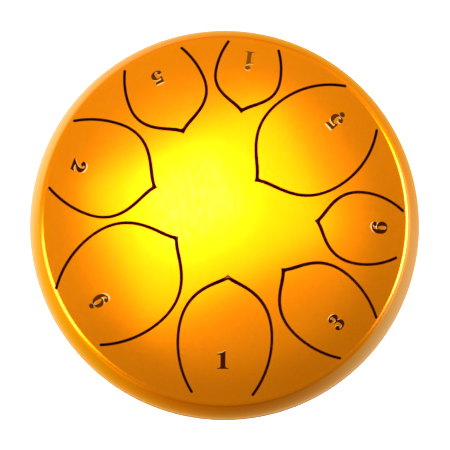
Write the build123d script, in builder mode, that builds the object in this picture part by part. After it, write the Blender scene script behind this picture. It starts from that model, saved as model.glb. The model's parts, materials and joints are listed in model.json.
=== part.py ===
from build123d import *
from typing import NamedTuple
import math
import os

# A steel tongue drum: a slotted dome and a bowl, welded at the seam, on three rubber feet.
# Millimetres, +Z up. The origin is on the floor under the drum's middle, and tongue 1 faces -Y.

# Dome and bowl
DRUM_DIAMETER = 155.0  # outside, at the seam
SHEET = 1.2  # pressed steel
RIM_HEIGHT = 29.0  # seam to the rim of the dome
RIM_LEAN = 5.8  # how far the side wall leans in on its way up to the rim
RIM_BEND = 3.0  # outside radius where the side wall turns into the dome
DOME_RISE = 8.0  # rim to the top of the dome
BOWL_DEPTH = 38.0  # seam to the underside of the floor
BOWL_LEAN = 9.0  # how far the wall leans in on its way down to the floor
BOWL_BEND = 16.0  # outside radius where the wall turns into the floor

# Seam: the bowl's stepped edge stands inside the dome's skirt, and a bead fills the groove outside
LAP_HEIGHT = 5.0  # of the bowl's edge above the groove
LAP_CLEARANCE = 0.1  # between the bowl's edge and the skirt
BEAD_HEIGHT = 1.6
BEAD_CROWN = 0.3

# Sound hole, with its edge turned up into the bowl
SOUND_HOLE_DIAMETER = 40.0
LIP_HEIGHT = 6.0  # underside of the floor to the top of the lip
LIP_BEND = 2.6  # outside radius of the turn

# Slots that free the tongues
SLOT_WIDTH = 0.9
SLOT_EASE = 0.15  # rounding of the slot's upper edges
TIP_ROUND = 1.2  # a tongue's own point
ROOT_GAP = 0.03  # parting line where a tongue bends

# Rubber feet, each on a screw with a nut inside the bowl
FOOT_NAMES = ["foot_front", "foot_right", "foot_left"]
FOOT_HEIGHT = 9.0
FOOT_TOP_DIAMETER = 20.0
FOOT_BASE_DIAMETER = 16.0
FOOT_EDGE = 1.2
FOOT_MARGIN = 1.9  # from a foot's edge to where the bowl's floor turns up
POCKET_CLEARANCE = 0.4  # round the washer in the foot

# Fasteners, M4
SCREW_DIAMETER = 4.0
SCREW_LENGTH = 12.0
SCREW_POINT = 0.5
HEAD_DIAMETER = 8.0
HEAD_HEIGHT = 3.1
HEAD_ROUND = 1.6
HEAD_SINK = 0.7  # how far the head stays above the foot's lower face
RECESS_SPAN = 4.4
RECESS_WIDTH = 1.2
RECESS_DEPTH = 1.8
RECESS_TAPER = 9.0  # degrees
WASHER_DIAMETER = 9.0
WASHER_THICKNESS = 0.8
NUT_FLATS = 7.0
NUT_HEIGHT = 3.2
NUT_BEVEL = 0.45  # turned off the corners
NUT_COUNTERSINK = 0.35
BORE_CLEARANCE = 0.2  # round the screw in the foot, the bowl and the washers
THREAD_CLEARANCE = 0.05  # round the screw in the nut

# Bearings in degrees, anticlockwise from +X
FRONT = -90.0
LAND_BEARING = -63.5  # over the land between two tongues, where the turned sections lie

SAME = 0.001  # sizes nearer than this are the same


class Tongue(NamedTuple):
    """A petal cut from the dome. The shares are of the dome's radius inside the rim's bend."""

    name: str
    bearing: float  # of the root's middle
    lean: float  # of the petal's axis from that bearing
    inset_share: float  # slot ends, in from the bend
    length_share: float  # root to tip
    width_share: float  # half width, at the widest
    root_share: float  # half width, at the root
    tip_share: float  # reach of the point's hollow flanks


TONGUES = [
    Tongue("tongue_1", -90.8, -2.1, 0.026, 0.638, 0.258, 0.169, 0.045),
    Tongue("tongue_3", -41.4, -0.4, 0.002, 0.557, 0.219, 0.151, 0.061),
    Tongue("tongue_6", -4.6, -4.0, 0.017, 0.463, 0.198, 0.132, 0.052),
    Tongue("tongue_low_5", 39.5, -4.4, 0.004, 0.709, 0.285, 0.152, 0.080),
    Tongue("tongue_high_1", 80.6, -1.0, 0.002, 0.376, 0.180, 0.142, 0.054),
    Tongue("tongue_5", 113.9, -1.6, 0.002, 0.442, 0.220, 0.171, 0.056),
    Tongue("tongue_2", 157.9, 2.1, 0.002, 0.552, 0.265, 0.199, 0.064),
    Tongue("tongue_low_6", -146.6, 4.9, 0.009, 0.692, 0.303, 0.200, 0.067),
]

# Outline that the petals share
WIDEST_SHARE = 0.455  # of the length, from the root
SHOULDER_SHARE = 1.22  # of the tip's reach
POINT_SLOPE = 0.75  # of each flank to the axis, at the point
END_ROUND_SHARE = 0.45  # of the slot's width

# Sizes that follow
DRUM_RADIUS = DRUM_DIAMETER / 2
FLOOR_Z = FOOT_HEIGHT
SEAM_Z = FLOOR_Z + BOWL_DEPTH
DOME_HEIGHT = RIM_HEIGHT + DOME_RISE
RIM_RADIUS = DRUM_RADIUS - RIM_LEAN
WALL_RADIUS = (RIM_HEIGHT**2 + RIM_LEAN**2) / (2 * RIM_LEAN)
DOME_RADIUS = (RIM_RADIUS**2 + DOME_RISE**2) / (2 * DOME_RISE)
DOME_CENTRE = Vector(0, 0, SEAM_Z + DOME_HEIGHT - DOME_RADIUS)
BOWL_WALL_RADIUS = (BOWL_DEPTH**2 + BOWL_LEAN**2) / (2 * BOWL_LEAN)
BOWL_BEND_REACH = math.sqrt((BOWL_WALL_RADIUS - BOWL_BEND) ** 2 - (BOWL_DEPTH - BOWL_BEND) ** 2)
FLOOR_RADIUS = DRUM_RADIUS - BOWL_WALL_RADIUS + BOWL_BEND_REACH  # of the flat inside the bend
FOOT_RING_DIAMETER = 2 * (FLOOR_RADIUS - FOOT_MARGIN) - FOOT_TOP_DIAMETER
LAP_TOP = BEAD_HEIGHT / 2 + LAP_HEIGHT
SKIRT_LEAN = WALL_RADIUS - math.sqrt(WALL_RADIUS**2 - LAP_TOP**2)  # by the top of the lap
LAP_RADIUS = DRUM_RADIUS - SKIRT_LEAN - SHEET - LAP_CLEARANCE
SOUND_HOLE_RADIUS = SOUND_HOLE_DIAMETER / 2
SCREW_BORE = SCREW_DIAMETER / 2 + BORE_CLEARANCE
HEAD_SEAT_Z = HEAD_SINK + HEAD_HEIGHT
POCKET_DEPTH = HEAD_SEAT_Z + WASHER_THICKNESS
NUT_WASHER_Z = FLOOR_Z + SHEET
NUT_Z = NUT_WASHER_Z + WASHER_THICKNESS


def bearing_vector(bearing):
    """Level unit vector at a bearing."""
    turn = math.radians(bearing)
    return Vector(math.cos(turn), math.sin(turn), 0)


SEAM_SECTION = Plane(
    origin=(0, 0, SEAM_Z),
    x_dir=bearing_vector(LAND_BEARING),
    z_dir=bearing_vector(LAND_BEARING + FRONT),
)
FLOOR_PLAN = Plane.XY.offset(FLOOR_Z)


def dome_section(inset):
    """Half section of the space under the dome's outer face, drawn in by inset."""
    with BuildSketch(SEAM_SECTION) as section:
        with Locations((0, BEAD_HEIGHT / 2)):
            Rectangle(DRUM_RADIUS, DRUM_RADIUS, align=Align.MIN)
        with Locations((DRUM_RADIUS - WALL_RADIUS, 0)):
            Circle(WALL_RADIUS - inset, mode=Mode.INTERSECT)
        with Locations((0, DOME_HEIGHT - DOME_RADIUS)):
            Circle(DOME_RADIUS - inset, mode=Mode.INTERSECT)
        rim = section.vertices().sort_by(lambda corner: corner.X + corner.Y)[-1]
        fillet(rim, RIM_BEND - inset)
    return section.sketch.face()


def bowl_section(inset):
    """Half section of the space inside the bowl's outer face, drawn in by inset."""
    with BuildSketch(SEAM_SECTION) as section:
        with Locations((0, inset - BOWL_DEPTH)):
            Rectangle(DRUM_RADIUS, BOWL_DEPTH - inset - BEAD_HEIGHT / 2, align=Align.MIN)
        with Locations((DRUM_RADIUS - BOWL_WALL_RADIUS, 0)):
            Circle(BOWL_WALL_RADIUS - inset, mode=Mode.INTERSECT)
        turn = section.vertices().sort_by(lambda corner: corner.X - corner.Y)[-1]
        fillet(turn, BOWL_BEND - inset)
    return section.sketch.face()


BEND_START = dome_section(0).vertices().sort_by(Axis.Z)[-2]
PLAY_RADIUS = math.hypot(BEND_START.X, BEND_START.Y)  # of the dome inside the rim's bend


def root_distance(tongue):
    """Distance of a tongue's root from the drum's axis, with its slot ends close to the bend."""
    slot_end = PLAY_RADIUS * (1 - tongue.inset_share) - SLOT_WIDTH / 2
    return math.sqrt(slot_end**2 - (PLAY_RADIUS * tongue.root_share) ** 2)


def root_plane(tongue):
    """Level plane at the seam's height, its X axis running from the root towards the tip."""
    inward = bearing_vector(tongue.bearing + tongue.lean) * -1
    middle = bearing_vector(tongue.bearing) * root_distance(tongue)
    return Plane(origin=middle + Vector(0, 0, SEAM_Z), x_dir=inward)


def petal(tongue, grow, start):
    """A tongue's outline in its root plane, grown from the middle of its slot, from start to tip."""
    length = PLAY_RADIUS * tongue.length_share
    width = PLAY_RADIUS * tongue.width_share
    root = PLAY_RADIUS * tongue.root_share
    reach = PLAY_RADIUS * tongue.tip_share
    widest = (length * WIDEST_SHARE, width + grow)
    flank_radius = (widest[0] ** 2 + (width - root) ** 2) / (2 * (width - root))
    end = width - flank_radius + math.sqrt((flank_radius + grow) ** 2 - (widest[0] - start) ** 2)
    tip = length + grow / math.sin(math.atan(POINT_SLOPE))
    hollow = length - reach + grow
    shoulder = length - reach * SHOULDER_SHARE + grow
    with BuildSketch() as outline:
        with BuildLine():
            Bezier((tip, 0), (hollow, (tip - hollow) * POINT_SLOPE), (shoulder, width + grow), widest)
            TangentArc(widest, (start, end), tangent=(-1, 0))
            mirror(about=Plane.XZ)
            Line((start, end), (start, -end))
        make_face()
    return outline.sketch


def slot_plan(tongue):
    """The slot round a tongue, with rounded ends past the root and the tongue's own point rounded."""
    with BuildSketch(root_plane(tongue)) as slot:
        add(petal(tongue, SLOT_WIDTH / 2, -SLOT_WIDTH / 2))
        add(petal(tongue, -SLOT_WIDTH / 2, -SLOT_WIDTH / 2), mode=Mode.SUBTRACT)
        fillet(slot.vertices().group_by(Axis.X)[0], SLOT_WIDTH * END_ROUND_SHARE)
        points = slot.vertices().filter_by(lambda corner: abs(corner.Y) < SAME).sort_by(Axis.X)
        fillet(points[0], TIP_ROUND)
    return slot.sketch.face()


def tongue_plan(tongue, start):
    """A tongue out to the middle of its slot, from just beside its root line."""
    with BuildSketch(root_plane(tongue)) as plan:
        add(petal(tongue, 0, start))
    return plan.sketch.face()


def on_top(edge):
    """Whether an edge of the slotted sheet lies in its upper face."""
    return DOME_RADIUS - (edge @ 0.5 - DOME_CENTRE).length < SHEET / 4


def foot_places():
    return PolarLocations(FOOT_RING_DIAMETER / 2, len(FOOT_NAMES), start_angle=FRONT)


def ring_edges(builder, radius, height):
    """The round edges of a part at one radius from their own middle and one height."""
    rings = builder.edges().filter_by(GeomType.CIRCLE)
    rings = rings.filter_by(lambda ring: abs(ring.radius - radius) < SAME)
    return rings.filter_by(lambda ring: abs(ring.arc_center.Z - height) < SAME)


def save(piece, name):
    piece.label = name
    export_step(piece, f"parts/{name}.step")


os.makedirs("parts", exist_ok=True)

# Dome with its slots cut, before the tongues are parted from it
with BuildPart() as dome:
    revolve(dome_section(0), Axis.Z)
    revolve(dome_section(SHEET), Axis.Z, mode=Mode.SUBTRACT)
    slots = [slot_plan(tongue) for tongue in TONGUES]
    extrude(slots, amount=DOME_HEIGHT, mode=Mode.SUBTRACT)
    slot_walls = dome.faces().filter_by(lambda face: abs(face.normal_at().Z) < SAME)
    fillet(slot_walls.edges().filter_by(on_top), SLOT_EASE)

with BuildPart() as top_shell:
    add(dome.part)
    tongues = [tongue_plan(tongue, -ROOT_GAP / 2) for tongue in TONGUES]
    extrude(tongues, amount=DOME_HEIGHT, mode=Mode.SUBTRACT)
save(top_shell.part, "top_shell")

for tongue in TONGUES:
    with BuildPart() as blade:
        add(dome.part)
        extrude(tongue_plan(tongue, ROOT_GAP / 2), amount=DOME_HEIGHT, mode=Mode.INTERSECT)
    save(blade.part, tongue.name)

# Bowl: its stepped edge, the sound hole's turned lip and the screw holes
with BuildPart() as bottom_shell:
    revolve(bowl_section(0), Axis.Z)
    revolve(bowl_section(SHEET), Axis.Z, mode=Mode.SUBTRACT)
    with BuildSketch(SEAM_SECTION):
        with Locations((LAP_RADIUS - SHEET, -BEAD_HEIGHT / 2 - SHEET)):
            Rectangle(SHEET, SHEET + BEAD_HEIGHT / 2 + LAP_TOP, align=Align.MIN)
            Rectangle(DRUM_RADIUS - LAP_RADIUS + SHEET / 2, SHEET, align=Align.MIN)
    revolve(axis=Axis.Z)
    with BuildSketch(FLOOR_PLAN):
        Circle(SOUND_HOLE_RADIUS + SHEET)
    extrude(amount=LIP_HEIGHT)
    with BuildSketch(FLOOR_PLAN):
        Circle(SOUND_HOLE_RADIUS)
    extrude(amount=LIP_HEIGHT, mode=Mode.SUBTRACT)
    fillet(ring_edges(bottom_shell, SOUND_HOLE_RADIUS + SHEET, FLOOR_Z + SHEET), LIP_BEND - SHEET)
    fillet(ring_edges(bottom_shell, SOUND_HOLE_RADIUS, FLOOR_Z), LIP_BEND)
    with BuildSketch(FLOOR_PLAN):
        with foot_places():
            Circle(SCREW_BORE)
    extrude(amount=SHEET, mode=Mode.SUBTRACT)
save(bottom_shell.part, "bottom_shell")

with BuildPart() as seam_weld:
    with BuildSketch(SEAM_SECTION):
        with BuildLine():
            root = Polyline(
                (DRUM_RADIUS, BEAD_HEIGHT / 2),
                (DRUM_RADIUS - SHEET, BEAD_HEIGHT / 2),
                (DRUM_RADIUS - SHEET, -BEAD_HEIGHT / 2),
                (DRUM_RADIUS, -BEAD_HEIGHT / 2),
            )
            ThreePointArc(root @ 1, (DRUM_RADIUS + BEAD_CROWN, 0), root @ 0)
        make_face()
    revolve(axis=Axis.Z)
save(seam_weld.part, "seam_weld")

# Rubber foot, with a pocket for the screw's head
with BuildPart() as foot:
    with BuildSketch():
        Circle(FOOT_BASE_DIAMETER / 2)
    with BuildSketch(FLOOR_PLAN):
        Circle(FOOT_TOP_DIAMETER / 2)
    loft()
    fillet(ring_edges(foot, FOOT_BASE_DIAMETER / 2, 0), FOOT_EDGE)
    with BuildSketch():
        Circle(WASHER_DIAMETER / 2 + POCKET_CLEARANCE)
    extrude(amount=POCKET_DEPTH, mode=Mode.SUBTRACT)
    with BuildSketch():
        Circle(SCREW_BORE)
    extrude(amount=FOOT_HEIGHT, mode=Mode.SUBTRACT)

for name, place in zip(FOOT_NAMES, foot_places()):
    with BuildPart() as placed_foot:
        with Locations(place):
            add(foot.part)
    save(placed_foot.part, name)

# Pan head screw with a cross recess
with BuildPart() as screw:
    with BuildSketch(Plane.XY.offset(HEAD_SINK)):
        Circle(HEAD_DIAMETER / 2)
    extrude(amount=HEAD_HEIGHT)
    fillet(ring_edges(screw, HEAD_DIAMETER / 2, HEAD_SINK), HEAD_ROUND)
    with BuildSketch(Plane.XY.offset(HEAD_SINK)):
        Rectangle(RECESS_SPAN, RECESS_WIDTH)
        Rectangle(RECESS_WIDTH, RECESS_SPAN)
    extrude(amount=RECESS_DEPTH, taper=RECESS_TAPER, mode=Mode.SUBTRACT)
    with BuildSketch(Plane.XY.offset(HEAD_SEAT_Z)):
        Circle(SCREW_DIAMETER / 2)
    extrude(amount=SCREW_LENGTH)
    chamfer(ring_edges(screw, SCREW_DIAMETER / 2, HEAD_SEAT_Z + SCREW_LENGTH), SCREW_POINT)

with BuildPart() as foot_screws:
    with foot_places():
        add(screw.part)
save(foot_screws.part, "foot_screws")

for name, height in [("foot_washers", HEAD_SEAT_Z), ("nut_washers", NUT_WASHER_Z)]:
    with BuildPart() as washers:
        with BuildSketch(Plane.XY.offset(height)):
            with foot_places():
                Circle(WASHER_DIAMETER / 2)
                Circle(SCREW_BORE, mode=Mode.SUBTRACT)
        extrude(amount=WASHER_THICKNESS)
    save(washers.part, name)

# Hexagon nut: a disc with bevelled rims, cut to six flats
with BuildPart() as nut:
    with BuildSketch(Plane.XY.offset(NUT_Z)):
        Circle(NUT_FLATS / math.sqrt(3))
    extrude(amount=NUT_HEIGHT)
    chamfer(nut.edges().filter_by(GeomType.CIRCLE), NUT_BEVEL)
    with BuildSketch(Plane.XY.offset(NUT_Z)):
        RegularPolygon(NUT_FLATS / 2, side_count=6, major_radius=False)
        Circle(SCREW_DIAMETER / 2 + THREAD_CLEARANCE, mode=Mode.SUBTRACT)
    extrude(amount=NUT_HEIGHT, mode=Mode.INTERSECT)
    for face_height in (NUT_Z, NUT_Z + NUT_HEIGHT):
        chamfer(ring_edges(nut, SCREW_DIAMETER / 2 + THREAD_CLEARANCE, face_height), NUT_COUNTERSINK)

with BuildPart() as foot_nuts:
    with foot_places():
        add(nut.part)
save(foot_nuts.part, "foot_nuts")
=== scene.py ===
import json
import math

import bpy
from mathutils import Matrix, Vector


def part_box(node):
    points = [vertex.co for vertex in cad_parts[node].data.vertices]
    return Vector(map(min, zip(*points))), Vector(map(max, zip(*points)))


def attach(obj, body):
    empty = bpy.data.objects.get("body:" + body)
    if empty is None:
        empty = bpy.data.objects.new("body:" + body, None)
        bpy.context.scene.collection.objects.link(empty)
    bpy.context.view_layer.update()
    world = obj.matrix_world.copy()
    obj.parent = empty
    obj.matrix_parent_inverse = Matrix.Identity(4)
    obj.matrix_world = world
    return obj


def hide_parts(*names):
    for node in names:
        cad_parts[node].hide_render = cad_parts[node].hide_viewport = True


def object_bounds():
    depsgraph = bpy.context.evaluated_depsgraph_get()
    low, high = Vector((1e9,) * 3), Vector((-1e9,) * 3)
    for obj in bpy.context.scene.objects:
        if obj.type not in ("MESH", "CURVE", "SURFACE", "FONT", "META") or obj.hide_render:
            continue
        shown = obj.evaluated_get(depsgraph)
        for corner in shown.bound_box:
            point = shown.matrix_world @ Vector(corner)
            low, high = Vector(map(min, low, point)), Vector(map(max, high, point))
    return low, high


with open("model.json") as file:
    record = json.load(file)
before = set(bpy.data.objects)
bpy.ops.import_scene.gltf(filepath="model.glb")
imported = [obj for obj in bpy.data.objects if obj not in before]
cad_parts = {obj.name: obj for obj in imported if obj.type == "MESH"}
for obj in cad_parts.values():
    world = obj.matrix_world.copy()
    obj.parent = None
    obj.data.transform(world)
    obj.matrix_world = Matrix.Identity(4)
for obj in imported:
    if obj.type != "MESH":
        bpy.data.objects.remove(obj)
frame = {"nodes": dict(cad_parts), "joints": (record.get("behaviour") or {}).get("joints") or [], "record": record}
cad_low, cad_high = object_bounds()
nodes = frame["nodes"]

# A gold lacquered steel tongue drum with inked figures on its tongues.
# Metres, in the frame of the solids: +Z up, the origin on the floor under the drum's middle.
MM = 0.001

# Sizes of the solids that the finishes and figures follow
DOME_RADIUS = 325.306 * MM  # outer face of the dome
DOME_CENTRE = cad_high.z - DOME_RADIUS
SEAM_HEIGHT = sum(corner.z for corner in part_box("seam_weld")) / 2
BOWL_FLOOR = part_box("bottom_shell")[0].z
# Arcs of the drum's turned profile: from the axis to the arc's centre, the centre's height, the arc's
# radius, and 1 where it bulges away from the axis, -1 where it bulges towards it
DOME_ARC = (0, DOME_CENTRE, DOME_RADIUS, 1)
BEND_ARC = (69.510 * MM, 73.415 * MM, 3.0 * MM, 1)
WALL_ARC = (2.1 * MM, SEAM_HEIGHT, 75.4 * MM, 1)
BOWL_WALL_ARC = (-7.222 * MM, SEAM_HEIGHT, 84.722 * MM, 1)
BOWL_BEND_ARC = (57.883 * MM, BOWL_FLOOR + 16 * MM, 16 * MM, 1)
LIP_ARC = (22.6 * MM, BOWL_FLOOR + 2.6 * MM, 2.6 * MM, -1)
PROFILE = (DOME_ARC, BEND_ARC, WALL_ARC, BOWL_WALL_ARC, BOWL_BEND_ARC, LIP_ARC)


class Value:
    """A socket of a material's node tree. Maths on it adds Math nodes."""

    def __init__(self, tree, socket):
        self.tree = tree
        self.socket = socket

    def maths(self, operation, *terms):
        node = self.tree.nodes.new("ShaderNodeMath")
        node.operation = operation
        for socket, term in zip(node.inputs, terms):
            plug(self.tree, socket, term)
        return Value(self.tree, node.outputs[0])

    def __add__(self, other):
        return self.maths("ADD", self, other)

    def __sub__(self, other):
        return self.maths("SUBTRACT", self, other)

    def __rsub__(self, other):
        return self.maths("SUBTRACT", other, self)

    def __mul__(self, other):
        return self.maths("MULTIPLY", self, other)

    def __truediv__(self, other):
        return self.maths("DIVIDE", self, other)

    def __rtruediv__(self, other):
        return self.maths("DIVIDE", other, self)

    __radd__ = __add__
    __rmul__ = __mul__

    def root(self):
        return self.maths("SQRT", self)


def plug(tree, socket, value):
    """Links a value to a socket, or sets the socket to a number or colour."""
    if isinstance(value, Value):
        tree.links.new(value.socket, socket)
    else:
        socket.default_value = value


def facing(x, y, bearing):
    """How far a level direction lies along a bearing in degrees."""
    turn = math.radians(bearing)
    return x * math.cos(turn) + y * math.sin(turn)


class Nodes:
    """A cleared node tree and the nodes that the finishes and the studio use."""

    def __init__(self, owner):
        owner.use_nodes = True
        self.tree = owner.node_tree
        self.tree.nodes.clear()

    def node(self, kind, settings, inputs):
        """Adds a node with its settings and inputs, and returns its outputs by name."""
        node = self.tree.nodes.new(kind)
        for name, setting in settings.items():
            setattr(node, name, setting)
        for name, value in inputs.items():
            sockets = [s for s in node.inputs if s.enabled and name in (s.name, s.identifier)]
            plug(self.tree, sockets[0], value)
        return {s.identifier: Value(self.tree, s) for s in node.outputs if s.enabled}

    def place(self, kind="Object"):
        """Coordinates of the point that is shaded."""
        return self.node("ShaderNodeTexCoord", {}, {})[kind]

    def split(self, place):
        """The x, y and z of coordinates."""
        parts = self.node("ShaderNodeSeparateXYZ", {}, {"Vector": place})
        return parts["X"], parts["Y"], parts["Z"]

    def stretch(self, place, shares):
        """Coordinates times a share along each axis, which draws a texture out."""
        inputs = {"Vector": place, "Vector_001": shares}
        return self.node("ShaderNodeVectorMath", {"operation": "MULTIPLY"}, inputs)["Vector"]

    def attribute(self, name):
        """An attribute of the mesh's faces."""
        return self.node("ShaderNodeAttribute", {"attribute_name": name}, {})["Fac"]

    def noise(self, place, size, detail=2.0):
        """Cloudy noise from 0 to 1, with lumps about the given size."""
        inputs = {"Vector": place, "Scale": 1 / size, "Detail": detail}
        return self.node("ShaderNodeTexNoise", {}, inputs)["Fac"]

    def flakes(self, place, size):
        """A random value from 0 to 1 for each flake of the given size."""
        inputs = {"Vector": place, "Scale": 1 / size}
        colour = self.node("ShaderNodeTexVoronoi", {}, inputs)["Color"]
        return self.node("ShaderNodeSeparateColor", {}, {"Color": colour})["Red"]

    def ease(self, value, start, end):
        """0 before start, 1 after end, eased between."""
        settings = {"interpolation_type": "SMOOTHSTEP"}
        inputs = {"Value": value, "From Min": start, "From Max": end}
        return self.node("ShaderNodeMapRange", settings, inputs)["Result"]

    def blend(self, share, first, second):
        """A colour between two others."""
        inputs = {"Factor_Float": share, "A_Color": first, "B_Color": second}
        return self.node("ShaderNodeMix", {"data_type": "RGBA"}, inputs)["Result_Color"]

    def relief(self, height, depth):
        """A normal that shows a height from 0 to 1 as that depth."""
        inputs = {"Height": height, "Strength": 1.0, "Distance": depth}
        return self.node("ShaderNodeBump", {}, inputs)["Normal"]


class Finish(Nodes):
    """A material and its nodes."""

    def __init__(self, name):
        self.material = bpy.data.materials.new(name)
        super().__init__(self.material)

    def surface(self, **inputs):
        """Ends the tree with a Principled shader."""
        titles = [name.replace("_", " ").title().replace("Ior", "IOR") for name in inputs]
        shader = self.node("ShaderNodeBsdfPrincipled", {}, dict(zip(titles, inputs.values())))["BSDF"]
        self.node("ShaderNodeOutputMaterial", {}, {"Surface": shader})
        return self.material


# Attributes of the sheet's faces, 0 or 1
BARE_STEEL = "bare_steel"  # the cut edges and the inside, which have no lacquer
INSIDE = "inside"  # the inside alone

# Where the lacquer changes, from the drum's axis
RIM_FADE = (48 * MM, 66 * MM)  # it grows smoother towards the rim
BEND_START = (69.8 * MM, 70.8 * MM)
BEND_END = (71.4 * MM, 72.4 * MM)
# Sides of the rim's bend with a thick clear coat: bearing in degrees, fade along the rim, coat
RIGHT_COAT = (-8, (0.86, 0.94), 0.85)
LEFT_COAT = (201, (0.94, 0.985), 0.4)
# Clear coat elsewhere, which lies in streaks
THIN_COAT, STREAK_COAT = 0.01, 0.09
STREAK_SIZE, STREAK_SHARES, STREAK_FADE = 1.6 * MM, (1, 0.4, 1), (0.30, 0.80)
# Lumps in the lacquer
CLOUD_SIZE = 38 * MM
FLAKE_SIZE = 0.32 * MM
PEEL_SIZE, PEEL_DEPTH = 3.4 * MM, 0.006 * MM
PEEL_SHARE = 0.7  # the rest of the relief is the flakes'
# Colours under the coat
DEEP_GOLD, LIGHT_GOLD = (0.90, 0.228, 0.0005, 1), (0.95, 0.252, 0.0008, 1)
FLAKE_GOLD, FLAKE_SHARE = (1.0, 0.31, 0.002, 1), 0.35
# Burnt steel of the cut edges, whose darkness is partly painted shade in the slots
BURNT_STEEL_AND_SLOT_SHADE = (0.095, 0.006, 0.001, 1)
RED_PRIMER = (0.55, 0.030, 0.004, 1)
GRAZING_TINT = (1.0, 1.0, 0.55, 1)
# Roughness of the lacquer, and what flakes, clouds, the rim, its bend and bare steel add to it
LACQUER_ROUGH, COAT_ROUGH = 0.165, 0.12
FLAKE_ROUGH, CLOUD_ROUGH, RIM_ROUGH, BEND_ROUGH, STEEL_ROUGH = 0.03, 0.02, -0.06, 0.13, 0.4
# What bare steel and primer take off the metal's shine
STEEL_DULL, PRIMER_DULL = 0.6, 0.4


def lacquer():
    """Gold-orange metallic lacquer. The cut edges are bare steel, burnt dark by the cut and dark also as painted
    shade in the slots, and the inside has red primer.
    """
    finish = Finish("gold_lacquer")
    place = finish.place()
    x, y, _ = finish.split(place)
    cut = finish.attribute(BARE_STEEL)
    inside = finish.attribute(INSIDE)
    reach = (x * x + y * y).root()
    rim = finish.ease(reach, *RIM_FADE)
    bend = finish.ease(reach, *BEND_START) - finish.ease(reach, *BEND_END)
    coats = [
        coat * finish.ease(facing(x, y, bearing) / reach, *fade)
        for bearing, fade, coat in (RIGHT_COAT, LEFT_COAT)
    ]
    drawn = finish.stretch(place, STREAK_SHARES)
    streaks = finish.ease(finish.noise(drawn, STREAK_SIZE, 4.0), *STREAK_FADE)
    cloud = finish.noise(place, CLOUD_SIZE)
    flake = finish.flakes(place, FLAKE_SIZE)
    shade = finish.blend(cloud, DEEP_GOLD, LIGHT_GOLD)
    glint = finish.blend(flake * FLAKE_SHARE, shade, FLAKE_GOLD)
    # The cut edges take the dark burnt steel, which is partly painted shade in the slots
    burnt_and_slot_shade = finish.blend(cut, glint, BURNT_STEEL_AND_SLOT_SHADE)
    peel = finish.noise(place, PEEL_SIZE) * PEEL_SHARE + flake * (1 - PEEL_SHARE)
    speckle = LACQUER_ROUGH + FLAKE_ROUGH * flake + CLOUD_ROUGH * cloud
    return finish.surface(
        base_color=finish.blend(inside, burnt_and_slot_shade, RED_PRIMER),
        metallic=1 - STEEL_DULL * cut - PRIMER_DULL * inside,
        roughness=speckle + RIM_ROUGH * rim + BEND_ROUGH * bend + STEEL_ROUGH * cut,
        specular_tint=GRAZING_TINT,
        coat_weight=(THIN_COAT + STREAK_COAT * streaks + bend * (coats[0] + coats[1])) * (1 - cut),
        coat_roughness=COAT_ROUGH,
        normal=finish.relief(peel, PEEL_DEPTH),
    )


def rubber():
    """Black rubber of the feet, with a fine grain."""
    finish = Finish("foot_rubber")
    place = finish.place()
    grain = finish.noise(place, 0.5 * MM, 4.0)
    cloud = finish.noise(place, 5 * MM)
    black, worn = (0.012, 0.012, 0.012, 1), (0.030, 0.029, 0.028, 1)
    return finish.surface(
        base_color=finish.blend(cloud, black, worn),
        roughness=0.62 + 0.2 * grain,
        normal=finish.relief(grain, 0.05 * MM),
    )


def zinc():
    """Zinc plate of the fasteners, a little clouded."""
    finish = Finish("zinc_plate")
    place = finish.place()
    cloud = finish.noise(place, 1.6 * MM, 3.0)
    grain = finish.noise(place, 0.18 * MM)
    dull, bright = (0.56, 0.56, 0.53, 1), (0.72, 0.73, 0.74, 1)
    return finish.surface(
        base_color=finish.blend(cloud, dull, bright),
        metallic=1.0,
        roughness=0.24 + 0.16 * cloud,
        normal=finish.relief(grain, 0.008 * MM),
    )


def ink(name, thick, thin):
    """Brown ink of the figures, thick and thin in clouds."""
    finish = Finish(name)
    cloud = finish.noise(finish.place(), 1.4 * MM)
    colour = finish.blend(cloud, thick, thin)
    return finish.surface(base_color=colour, roughness=0.4 + 0.15 * cloud, specular_ior_level=0.0)


def painted_highlight_gold():
    """Pale gold painted highlight on the figures' lit edges."""
    finish = Finish("figure_painted_highlight")
    cloud = finish.noise(finish.place(), 0.9 * MM)
    dull, bright = (0.40, 0.27, 0.065, 1), (0.56, 0.41, 0.12, 1)
    return finish.surface(
        base_color=finish.blend(cloud, dull, bright), metallic=0.15, roughness=0.35 + 0.1 * cloud
    )


def paper():
    """White studio paper that glows a little, with the glow left out under the drum as a painted shadow."""
    finish = Finish("studio_floor")
    place = finish.place()
    x, y, _ = finish.split(place)
    cloud = finish.noise(place, 0.4)
    # No glow under the drum, which paints a shadow there
    glow_outside_painted_shadow = finish.ease((x * x + y * y).root(), 0.6 * cad_high.x, cad_high.x)
    return finish.surface(
        base_color=finish.blend(cloud, (0.90, 0.90, 0.90, 1), (0.93, 0.93, 0.93, 1)),
        roughness=0.8,
        emission_color=finish.blend(glow_outside_painted_shadow, (0, 0, 0, 1), (1, 1, 1, 1)),
        emission_strength=0.4,
    )


# Outlines of the figures, in thousandths of their em. A row is a point, or two handles and a point.
FIGURE_HEIGHT = 700
FIGURE_WIDTH = 500
ONE = [
    [(60, 0), (440, 0), (440, 45), (370, 48, 334, 62, 334, 125), (334, 700), (296, 700),
     (240, 640, 165, 610, 62, 606), (62, 558), (120, 558), (160, 558, 172, 545, 172, 505), (172, 125),
     (172, 62, 136, 48, 60, 45)],
]
TWO = [
    [(35, 0), (448, 0), (478, 205), (432, 205), (422, 162, 402, 140, 360, 140), (225, 140),
     (262, 190, 305, 228, 362, 280), (425, 338, 462, 398, 462, 480), (462, 612, 372, 706, 242, 706),
     (122, 706, 42, 632, 42, 540), (42, 480, 84, 438, 138, 438), (190, 438, 228, 474, 228, 522),
     (228, 562, 204, 588, 178, 600), (190, 632, 212, 652, 240, 652), (284, 652, 300, 600, 300, 500),
     (300, 400, 258, 300, 188, 212), (138, 148, 88, 94, 35, 45)],
]
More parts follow.
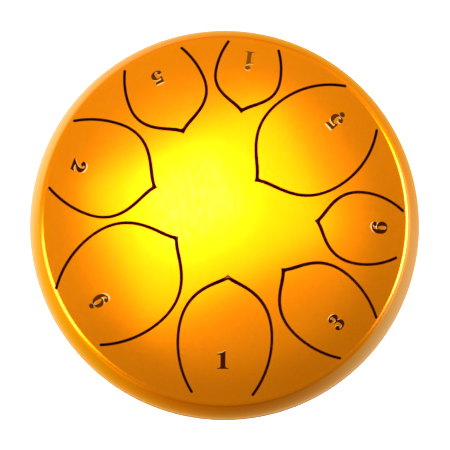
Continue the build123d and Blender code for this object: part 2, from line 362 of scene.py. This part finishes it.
THREE = [
    [(242, 706), (380, 706, 462, 640, 462, 545), (462, 460, 412, 400, 332, 372),
     (432, 350, 486, 285, 486, 195), (486, 70, 386, -12, 242, -12), (112, -12, 28, 55, 28, 145),
     (28, 200, 66, 240, 118, 240), (168, 240, 202, 206, 202, 160), (202, 120, 182, 95, 156, 82),
     (176, 56, 202, 42, 236, 42), (292, 42, 318, 90, 318, 190), (318, 300, 288, 345, 215, 345), (160, 345),
     (160, 397), (210, 397), (280, 397, 303, 440, 303, 545), (303, 625, 284, 656, 242, 656),
     (206, 656, 182, 644, 166, 622), (190, 608, 206, 585, 206, 555), (206, 510, 172, 478, 128, 478),
     (80, 478, 46, 514, 46, 560), (46, 646, 124, 706, 242, 706)],
]
FIVE = [
    [(84, 700), (430, 700), (424, 616, 392, 562, 306, 562), (150, 562), (150, 442),
     (186, 466, 222, 478, 264, 478), (392, 478, 478, 386, 478, 245), (478, 90, 376, -12, 230, -12),
     (110, -12, 32, 55, 32, 145), (32, 200, 68, 240, 120, 240), (168, 240, 202, 206, 202, 162),
     (202, 122, 182, 95, 152, 82), (170, 56, 198, 42, 230, 42), (288, 42, 310, 100, 310, 240),
     (310, 368, 288, 418, 232, 418), (190, 418, 160, 400, 136, 362), (84, 362)],
]
SIX = [
    [(188, 408), (206, 450, 232, 474, 276, 474), (396, 474, 478, 386, 478, 236),
     (478, 84, 386, -12, 254, -12), (112, -12, 22, 96, 22, 320), (22, 560, 134, 706, 292, 706),
     (392, 706, 458, 650, 458, 570), (458, 514, 420, 480, 372, 480), (324, 480, 290, 514, 290, 558),
     (290, 596, 310, 620, 338, 632), (328, 648, 312, 654, 292, 654), (224, 654, 184, 580, 188, 408)],
    [(250, 416), (298, 416, 314, 350, 314, 230), (314, 96, 298, 40, 252, 40), (206, 40, 186, 100, 186, 236),
     (186, 350, 206, 416, 250, 416)],
]
BEAD_RADIUS = 105
ROUND_HANDLE = 0.5523  # handle of a quarter circle with a radius of 1
LOW_BEAD, HIGH_BEAD = -110, 850  # heights of the beads' middles


def bead(middle):
    """Round outline about a point of the figure's middle line."""
    x = FIGURE_WIDTH / 2
    reach = BEAD_RADIUS * ROUND_HANDLE
    right, left = x + BEAD_RADIUS, x - BEAD_RADIUS
    top, foot = middle + BEAD_RADIUS, middle - BEAD_RADIUS
    return [
        (right, middle),
        (right, middle + reach, x + reach, top, x, top),
        (x - reach, top, left, middle + reach, left, middle),
        (left, middle - reach, x - reach, foot, x, foot),
        (x + reach, foot, right, middle - reach, right, middle),
    ]


DOT_BELOW = [bead(LOW_BEAD)]
DOT_ABOVE = [bead(HIGH_BEAD)]

# Tongue, outlines, bearing in degrees, then millimetres: from the drum's axis to the figure's middle,
# width and height of its em, and how far the painted highlight of its lit edge shows at the figure's top
FIGURES = [
    ("tongue_1", ONE, -90.7, 54.1, 5.8, 6.9, 0.22),
    ("tongue_3", THREE, -42.5, 58.5, 4.9, 6.4, 0.35),
    ("tongue_6", SIX, -2.8, 60.0, 5.3, 6.1, 0.55),
    ("tongue_low_5", FIVE + DOT_BELOW, 41.9, 57.4, 5.4, 6.1, 0.75),
    ("tongue_high_1", ONE + DOT_ABOVE, 81.4, 63.8, 5.1, 5.5, 0.30),
    ("tongue_5", FIVE, 115.1, 61.3, 5.0, 5.1, 0.50),
    ("tongue_2", TWO, 159.6, 60.3, 5.4, 5.5, 0.80),
    ("tongue_low_6", SIX + DOT_BELOW, -147.1, 57.2, 5.0, 6.2, 0.80),
]
EDGE_FOOT_SHARE = 0.25  # of a lit edge's painted highlight, at the figure's foot
EDGE_SIDE = 0.3  # taken off a painted highlight's width, so that it hides at the figure's sides
INK_PROUD = 0.07 * MM
PAINTED_HIGHLIGHT_PROUD = 0.03 * MM
FIGURE_SINK = 0.05 * MM
FIGURE_WELD = 0.002 * MM
CURVE_STEPS = 6


def dome_place(bearing, radius):
    """Frame on the dome, X across the figure, Y towards the drum's axis and Z outwards."""
    turn = math.radians(bearing)
    out = Vector((math.cos(turn), math.sin(turn), 0)) * radius
    point = out + Vector((0, 0, DOME_CENTRE + math.sqrt(DOME_RADIUS**2 - radius**2)))
    normal = (point - Vector((0, 0, DOME_CENTRE))).normalized()
    across = Vector((-math.sin(turn), math.cos(turn), 0))
    upward = normal.cross(across)
    axes = Matrix((across, upward, normal)).transposed().to_4x4()
    return Matrix.Translation(point) @ axes


def thicken(piece, depth):
    """Gives a sheet a depth behind its face."""
    wall = piece.modifiers.new("wall", "SOLIDIFY")
    wall.thickness = depth
    wall.offset = -1
    bpy.ops.object.modifier_apply(modifier=wall.name)


def figure(name, outlines, place, width, height, proud, finish):
    """A closed inlay of the outlines, standing proud of the dome."""
    bpy.ops.object.select_all(action="DESELECT")
    drawing = bpy.data.curves.new(name, "CURVE")
    drawing.dimensions = "2D"
    drawing.fill_mode = "BOTH"
    drawing.resolution_u = CURVE_STEPS
    for outline in outlines:
        spline = drawing.splines.new("BEZIER")
        ring = outline[:-1] if outline[-1][-2:] == outline[0][-2:] else outline
        spline.bezier_points.add(len(ring) - 1)
        spline.use_cyclic_u = True
        for index, point in enumerate(spline.bezier_points):
            here = ring[index]
            after = outline[(index + 1) % len(outline)]
            before = outline[-1] if index == 0 and outline[-1][-2:] == here[-2:] else here
            point.handle_left_type = point.handle_right_type = "FREE"
            point.co = (*here[-2:], 0)
            point.handle_left = (*(before[2:4] if len(before) > 2 else here[-2:]), 0)
            point.handle_right = (*(after[:2] if len(after) > 2 else here[-2:]), 0)
    piece = bpy.data.objects.new(name, drawing)
    bpy.context.scene.collection.objects.link(piece)
    piece.select_set(True)
    bpy.context.view_layer.objects.active = piece
    bpy.ops.object.convert(target="MESH")
    middle = Matrix.Translation((-width / 2, -height / 2, proud))
    size = Matrix.Diagonal((width / FIGURE_WIDTH, height / FIGURE_HEIGHT, 1, 1))
    piece.matrix_world = place @ middle @ size
    bpy.ops.object.transform_apply(location=True, rotation=True, scale=True)
    bpy.ops.object.mode_set(mode="EDIT")
    bpy.ops.mesh.select_all(action="SELECT")
    bpy.ops.mesh.remove_doubles(threshold=FIGURE_WELD)
    bpy.ops.mesh.dissolve_degenerate(threshold=FIGURE_WELD)
    bpy.ops.mesh.normals_make_consistent(inside=False)
    bpy.ops.object.mode_set(mode="OBJECT")
    outward = place.to_3x3().col[2]
    if piece.data.polygons[0].normal.dot(outward) < 0:
        piece.data.flip_normals()
    thicken(piece, proud + FIGURE_SINK)
    piece.data.materials.clear()
    piece.data.materials.append(finish)
    return piece


gold_lacquer = lacquer()
foot_rubber = rubber()
zinc_plate = zinc()
figure_ink = ink("figure_ink", (0.021, 0.0022, 0.0001, 1), (0.034, 0.0048, 0.0002, 1))
lighter_ink = ink("lighter_ink", (0.046, 0.0085, 0.0002, 1), (0.075, 0.018, 0.0004, 1))
lightest_ink = ink("lightest_ink", (0.085, 0.026, 0.0004, 1), (0.160, 0.055, 0.0008, 1))
figure_painted_highlight = painted_highlight_gold()
# Tongues whose figures have lighter ink
LIGHTER_INK_FIGURES = {
    "tongue_low_5": lighter_ink,
    "tongue_5": lighter_ink,
    "tongue_low_6": lighter_ink,
    "tongue_high_1": lightest_ink,
}

FINISHES = {"lacquer": gold_lacquer, "rubber": foot_rubber, "zinc_steel": zinc_plate}
for row in frame["record"]["subparts"]:
    mesh = nodes[row["node"]].data
    mesh.materials.clear()
    mesh.materials.append(FINISHES[row["material_slot"]])

SKIN_NODES = ["top_shell", "bottom_shell"] + [row[0] for row in FIGURES]
SKIN_REACH = 0.002 * MM  # how near to an arc the sheet's outer face lies
SKIN_TURN = math.cos(math.radians(60))  # how far an outer face may turn from its arc
SKIN_WELD = 0.001 * MM
SHARP_EDGE = math.radians(30)
UNDERSIDE = -0.2  # upright part of the normals under the sheet
BEND_CUTS = 3  # of each edge on the rim's bend


def arc_normal(point, arc):
    """Outward normal of a turned arc at a point on it, or None off it."""
    centre, height, radius, side = arc
    reach = math.hypot(point.x, point.y)
    out, up = reach - centre, point.z - height
    if out * side < 0 or abs(math.hypot(out, up) - radius) > SKIN_REACH:
        return None
    level = Vector((point.x, point.y, 0)) * (out / reach if reach else 0)
    return (level + Vector((0, 0, up))).normalized()


def profile_normal(point):
    """Outward normal of the drum's profile at a point on it, or None off it."""
    if abs(point.z - BOWL_FLOOR) < SKIN_REACH:
        return Vector((0, 0, -1))
    normals = (arc_normal(point, arc) for arc in PROFILE)
    return next((normal for normal in normals if normal), None)


def refine_bend(skin):
    """Cuts the rim's bend finer and sets its points on the true arc."""
    centre, height, radius, _ = BEND_ARC
    on_bend = [arc_normal(vertex.co, BEND_ARC) is not None for vertex in skin.data.vertices]
    for face in skin.data.polygons:
        face.select = all(on_bend[index] for index in face.vertices)
    bpy.ops.object.mode_set(mode="EDIT")
    bpy.ops.mesh.select_mode(type="FACE")
    bpy.ops.mesh.subdivide(number_cuts=BEND_CUTS)
    bpy.ops.object.mode_set(mode="OBJECT")
    for vertex in skin.data.vertices:
        if vertex.select:
            reach = math.hypot(vertex.co.x, vertex.co.y)
            tilt = math.atan2(reach - centre, vertex.co.z - height)
            level = vertex.co.xy.normalized() * (centre + radius * math.sin(tilt))
            vertex.co = (*level, height + radius * math.cos(tilt))


def smooth_skin(name):
    """The node's own sheet as one welded skin that shades as truly round."""
    bpy.ops.object.select_all(action="DESELECT")
    skin = bpy.data.objects.new(f"{name}_sheet", nodes[name].data.copy())
    bpy.context.scene.collection.objects.link(skin)
    skin.select_set(True)
    bpy.context.view_layer.objects.active = skin
    bpy.ops.mesh.customdata_custom_splitnormals_clear()
    bpy.ops.object.mode_set(mode="EDIT")
    bpy.ops.mesh.select_all(action="SELECT")
    bpy.ops.mesh.remove_doubles(threshold=SKIN_WELD)
    bpy.ops.mesh.select_all(action="DESELECT")
    bpy.ops.object.mode_set(mode="OBJECT")
    if name == "top_shell":
        refine_bend(skin)
    bpy.ops.object.shade_smooth_by_angle(angle=SHARP_EDGE)
    mesh = skin.data
    turned = [profile_normal(vertex.co) for vertex in mesh.vertices]
    shading = [corner.vector.copy() for corner in mesh.corner_normals]
    bare = [1.0] * len(mesh.polygons)
    inside = [0.0] * len(mesh.polygons)
    for face in mesh.polygons:
        true = [turned[index] for index in face.vertices]
        if None not in true and true[0].dot(face.normal) > SKIN_TURN:
            bare[face.index] = 0.0
            for corner, normal in zip(face.loop_indices, true):
                shading[corner] = normal
        elif face.normal.z < UNDERSIDE or face.center.z < BEND_ARC[1]:
            inside[face.index] = 1.0
    mesh.normals_split_custom_set(shading)
    mesh.attributes.new(BARE_STEEL, "FLOAT", "FACE").data.foreach_set("value", bare)
    mesh.attributes.new(INSIDE, "FLOAT", "FACE").data.foreach_set("value", inside)
    return skin


BODY_OF = {node: body for body, names in frame["record"]["behaviour"]["bodies"].items() for node in names}
for name in SKIN_NODES:
    skin = smooth_skin(name)
    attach(skin, BODY_OF[name])
    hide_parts(name)

for tongue, outlines, bearing, radius, width, height, edge in FIGURES:
    mark = tongue.replace("tongue", "figure")
    place = dome_place(bearing, radius * MM)
    dark_ink = LIGHTER_INK_FIGURES.get(tongue, figure_ink)
    dark = figure(mark, outlines, place, width * MM, height * MM, INK_PROUD, dark_ink)
    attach(dark, tongue)
    # A paler copy behind the ink, shifted towards the drum's axis, is the painted highlight on the figure's top
    # edge
    foot = edge * EDGE_FOOT_SHARE
    lit_place = dome_place(bearing, (radius - (edge + foot) / 2) * MM)
    lit_width = (width - EDGE_SIDE) * MM
    lit_height = (height + edge - foot) * MM
    lit = figure(f"{mark}_edge", outlines, lit_place, lit_width, lit_height, PAINTED_HIGHLIGHT_PROUD, figure_painted_highlight)
    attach(lit, tongue)

ROOT_SPAN = 0.02 * MM  # half the width of the sheet shown across a tongue's root
ROOT_DEPTH = 0.02 * MM
ROOT_STEPS = 32  # along a root


def root_sheet(joint):
    """The sheet across a tongue's root, where the tongue runs on into the shell."""
    bpy.ops.object.select_all(action="DESELECT")
    along = Vector(joint["axis"])
    inward = Vector((along.y, -along.x, 0))
    middle = Vector(joint["pos_m"])
    inward *= -1 if inward.dot(middle) > 0 else 1
    corners = [vertex.co - middle for vertex in nodes[joint["child"]].data.vertices]
    half = max(abs(corner.dot(along)) for corner in corners if abs(corner.dot(inward)) < ROOT_SPAN)
    bpy.ops.mesh.primitive_grid_add(x_subdivisions=ROOT_STEPS, y_subdivisions=2, size=2)
    piece = bpy.context.object
    piece.name = f"{joint['child']}_root"
    for vertex in piece.data.vertices:
        spot = middle + along * (vertex.co.x * half) + inward * (vertex.co.y * ROOT_SPAN)
        spot.z = DOME_CENTRE + math.sqrt(DOME_RADIUS**2 - spot.x**2 - spot.y**2)
        vertex.co = spot
    if piece.data.polygons[0].normal.z < 0:
        piece.data.flip_normals()
    thicken(piece, ROOT_DEPTH)
    piece.data.materials.append(gold_lacquer)
    return piece


for joint in frame["joints"]:
    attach(root_sheet(joint), "drum")

# Floor and studio light
FLOOR_SIZE = 12
bpy.ops.object.select_all(action="DESELECT")
bpy.ops.mesh.primitive_plane_add(size=FLOOR_SIZE)
floor = bpy.context.object
floor.name = "floor"
floor.data.materials.append(paper())
floor.visible_glossy = False  # the drum mirrors the studio's wide light instead

WARM = (1.0, 0.81, 0.03)
WHITE = (1.0, 1.0, 1.0)
COOL = (0.9, 0.75, 2.0)
# Name, place, aim, width, height, turn about the aim in degrees, radiance, colour
LIGHTS = [
    ("top_softbox", (-0.066, 0.160, 1.60), (-0.066, 0.160, 0), 1.0, 0.74, 26.4, 2.9, WARM),
    ("top_core", (-0.144, 0.181, 1.58), (-0.144, 0.181, 0), 0.36, 0.28, 26.4, 13.0, COOL),
    ("left_softbox", (-0.774, -0.282, 0.552), (0, 0, 0.08), 0.6, 0.77, 0, 4.5, WHITE),
    ("right_softbox", (0.82, 0.07, 0.555), (0, 0, 0.08), 0.8, 0.69, 0, 2.6, WHITE),
    ("right_strip", (0.73, 0.06, 0.61), (0, 0, 0.08), 0.62, 0.20, 0, 15.0, WHITE),
]
for name, place, aim, width, height, turn, radiance, colour in LIGHTS:
    lamp = bpy.data.lights.new(name, "AREA")
    lamp.shape = "RECTANGLE"
    lamp.size = width
    lamp.size_y = height
    lamp.energy = radiance * math.pi * width * height
    lamp.color = colour
    light = bpy.data.objects.new(name, lamp)
    bpy.context.scene.collection.objects.link(light)
    toward = (Vector(aim) - Vector(place)).to_track_quat("-Z", "Y").to_matrix().to_4x4()
    spin = Matrix.Rotation(math.radians(turn), 4, "Z")
    light.matrix_world = Matrix.Translation(place) @ toward @ spin
    light.visible_camera = False

# Wide soft light from all round, stronger from the back and the left
UPPER_LEVEL, UPPER_EAST, UPPER_NORTH = 0.71, -0.13, 0.25
LOWER_LEVEL, LOWER_EAST, LOWER_NORTH, LOWER_PAIR = 0.87, -0.289, 0.289, 0.298
POLE_EASE = 0.15  # keeps the light even straight up and down
HORIZON = (-0.5, 0.2)  # heights over which the lower light turns into the upper
# Glows low on two sides: bearing in degrees, fade, strength, and the heights where they come and go
RIGHT_GLOW = (15, (0.5, 0.9), 0.8)
LEFT_GLOW = (205, (0.6, 0.9), 0.5)
GLOW_RISE, GLOW_FALL = (-0.85, -0.35), (-0.05, 0.25)
# Halo overhead, a little tilted and stronger to the back
HALO_FADE, HALO_TILT, HALO_LEVEL, HALO_NORTH = (0.905, 0.945), 0.022, 0.29, 0.10
# Colours of the lower light: amber and pale by turns, with gold on the left and pearl on the right
AMBER, PALE = (1, 0.62, 0, 1), (1, 1.1, 1.4, 1)
GOLD = (0.85, 0.80, 0, 1)
PEARL, PEARL_BEARING, PEARL_FADE = (0.98, 1.15, 1.9, 1), -20, (0.6, 0.95)
PALE_LEVEL, PALE_EAST, PALE_DIAGONAL = 0.5, 0.25, 0.866

world = bpy.data.worlds.new("studio")
bpy.context.scene.world = world
sky = Nodes(world)
x, y, z = sky.split(sky.place("Generated"))
level_reach = (x * x + y * y + POLE_EASE).root()
east = x / level_reach
north = y / level_reach
pair = east * east - north * north


def glow(bearing, fade):
    """1 towards a bearing, fading to its sides."""
    return sky.ease(facing(east, north, bearing), *fade)


upper = UPPER_LEVEL + east * UPPER_EAST + north * UPPER_NORTH
lower = LOWER_LEVEL + east * LOWER_EAST + north * LOWER_NORTH + pair * LOWER_PAIR
above = sky.ease(z, *HORIZON)
right_glow = glow(*RIGHT_GLOW[:2])
left_glow = glow(*LEFT_GLOW[:2])
glow_band = sky.ease(z, *GLOW_RISE) * (1 - sky.ease(z, *GLOW_FALL))
glows = (right_glow * RIGHT_GLOW[2] + left_glow * LEFT_GLOW[2]) * glow_band
halo = sky.ease(z + north * HALO_TILT, *HALO_FADE) * (HALO_LEVEL + north * HALO_NORTH)
strength = lower + (upper - lower) * above + glows + halo
pale = PALE_LEVEL + pair * PALE_EAST - east * north * PALE_DIAGONAL
sides = sky.blend(pale * pale, AMBER, PALE)
sides = sky.blend(left_glow, sides, GOLD)
sides = sky.blend(glow(PEARL_BEARING, PEARL_FADE), sides, PEARL)
colour = sky.blend(above, sides, (1, 1, 1, 1))
backdrop = sky.node("ShaderNodeBackground", {}, {"Color": colour, "Strength": strength})["Background"]
sky.node("ShaderNodeOutputWorld", {}, {"Surface": backdrop})

# Camera, almost straight above and a little to the front
CAMERA_DISTANCE = 1.0
CAMERA_ELEVATION = math.radians(86.5)
CAMERA_LENS = 200.2
CAMERA_SENSOR = 36
CAMERA_NEAR = 0.01
CAMERA_SHIFT = 0.16 * MM  # to the right
lens = bpy.data.cameras.new("camera")
lens.lens = CAMERA_LENS
lens.sensor_width = CAMERA_SENSOR
lens.clip_start = CAMERA_NEAR
camera = bpy.data.objects.new("camera", lens)
bpy.context.scene.collection.objects.link(camera)
back = Vector((0, -math.cos(CAMERA_ELEVATION), math.sin(CAMERA_ELEVATION)))
camera.location = Vector((CAMERA_SHIFT, 0, SEAM_HEIGHT)) + back * CAMERA_DISTANCE
camera.rotation_euler = (math.radians(90) - CAMERA_ELEVATION, 0, 0)
bpy.context.scene.camera = camera
bpy.context.scene.view_settings.view_transform = "Standard"

bpy.context.view_layer.update()
